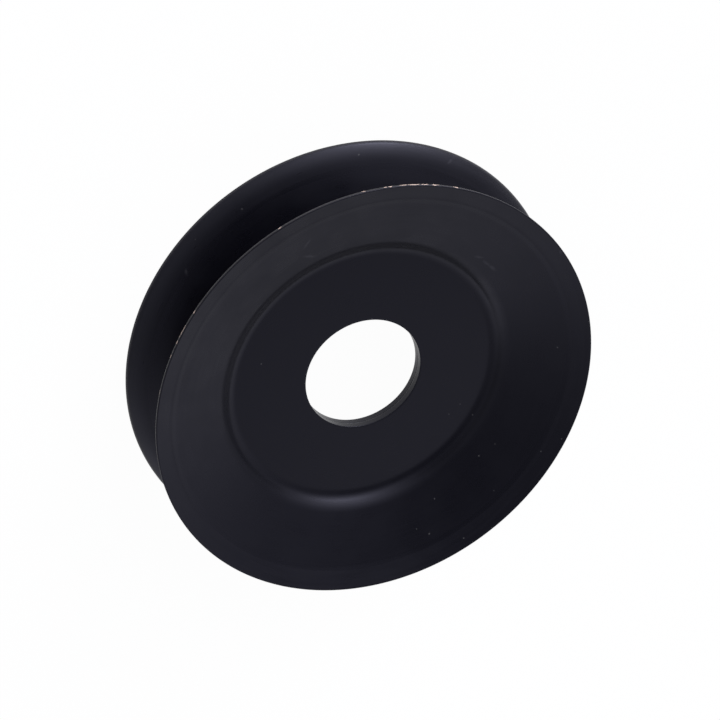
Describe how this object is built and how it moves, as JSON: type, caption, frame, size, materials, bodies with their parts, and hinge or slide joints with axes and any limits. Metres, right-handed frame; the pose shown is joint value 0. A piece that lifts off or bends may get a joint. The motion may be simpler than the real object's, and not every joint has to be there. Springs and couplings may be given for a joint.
{
  "type": "v-belt pulley",
  "caption": "V-belt pulley pressed from dished steel halves set back to back, with a flat recessed web, flared groove sides and a large plain centre bore.",
  "frame": {"origin": "centre of the bore, on the plane where the two webs meet, which is the middle of the belt groove", "axes": "+Z along the bore axis, towards the upper half; X and Y are any two radii, because the pulley is round"},
  "size_m": [0.127, 0.127, 0.0278],
  "materials": {
    "black_paint": "satin"
  },
  "bodies": {
    "root": {"upper_half_sheave": "black_paint", "lower_half_sheave": "black_paint"}
  },
  "joints": []
}
